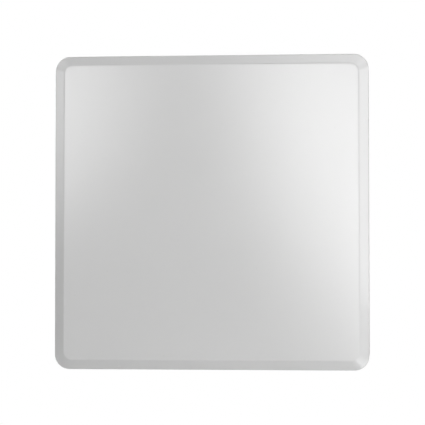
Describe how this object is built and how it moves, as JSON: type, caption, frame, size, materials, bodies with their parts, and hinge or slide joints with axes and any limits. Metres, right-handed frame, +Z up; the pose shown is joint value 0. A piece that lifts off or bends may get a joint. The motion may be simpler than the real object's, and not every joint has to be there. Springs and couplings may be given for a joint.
{
  "type": "flat panel reader antenna",
  "caption": "Square wall-held panel antenna for a shop-door tag gate: bevelled moulded radome, stacked patches, metal back plate, studs and a capped coaxial jack.",
  "frame": {"origin": "centre of the mounting pad's rear face, on the back plate", "axes": "+Z up, -Y out of the radome's flat front, +Y out of the back plate towards the wall, +X to the right of someone who faces the front"},
  "size_m": [0.259, 0.0516, 0.259],
  "materials": {
    "moulding": "satin off-white moulded plastic",
    "plate_aluminium": "brushed sheet, clear passivated",
    "patch_aluminium": "plain mill sheet",
    "fastener_steel": "stainless, lightly polished",
    "jack_plating": "bright nickel plating",
    "contact_plating": "gold plating",
    "copper": "copper foil and tinned copper",
    "laminate": "glass-fibre circuit laminate with solder mask",
    "resistor_ceramic": "glazed ceramic chip",
    "nylon": "natural nylon",
    "fluoropolymer": "turned white fluoropolymer",
    "seal_rubber": "matt black silicone",
    "black_plastic": "fine-textured black plastic",
    "cap_plastic": "soft red polyethylene",
    "lead_copper": "tinned copper jacket of a semi-rigid lead",
    "label_film": "satin white film, blank"
  },
  "bodies": {
    "panel": {"radome": "moulding", "back_plate": "plate_aluminium", "rim_gasket": "seal_rubber", "cover_screw_1": "fastener_steel", "cover_screw_2": "fastener_steel", "cover_screw_3": "fastener_steel", "cover_screw_4": "fastener_steel", "cover_screw_5": "fastener_steel", "cover_screw_6": "fastener_steel", "cover_screw_7": "fastener_steel", "cover_screw_8": "fastener_steel", "mounting_stud_1": "fastener_steel", "mounting_stud_2": "fastener_steel", "mounting_stud_3": "fastener_steel", "mounting_stud_4": "fastener_steel", "rating_label": "label_film", "vent_plug": "black_plastic", "ground_screw": "fastener_steel", "jack_body": "jack_plating", "jack_insulator": "fluoropolymer", "jack_contact": "contact_plating", "jack_gasket": "seal_rubber", "jack_screw_1": "fastener_steel", "jack_screw_2": "fastener_steel", "jack_screw_3": "fastener_steel", "jack_screw_4": "fastener_steel", "coax_jumper": "lead_copper", "feed_board": "laminate", "hybrid_trace": "copper", "load_resistor": "resistor_ceramic", "feed_probe_1": "copper", "feed_probe_2": "copper", "driven_patch": "patch_aluminium", "director_patch": "patch_aluminium", "lower_spacer_1": "nylon", "lower_spacer_2": "nylon", "lower_spacer_3": "nylon", "lower_spacer_4": "nylon", "upper_spacer_1": "nylon", "upper_spacer_2": "nylon", "upper_spacer_3": "nylon", "upper_spacer_4": "nylon", "stack_screw_1": "nylon", "stack_screw_2": "nylon", "stack_screw_3": "nylon", "stack_screw_4": "nylon", "center_post": "patch_aluminium", "center_screw": "fastener_steel"},
    "cap": {"dust_cap": "cap_plastic"}
  },
  "joints": [
    {"name": "dust_cap_pull", "type": "slide", "parent": "panel", "child": "cap", "axis": [0, 1, 0], "range_m": [0, 0.016]}
  ]
}
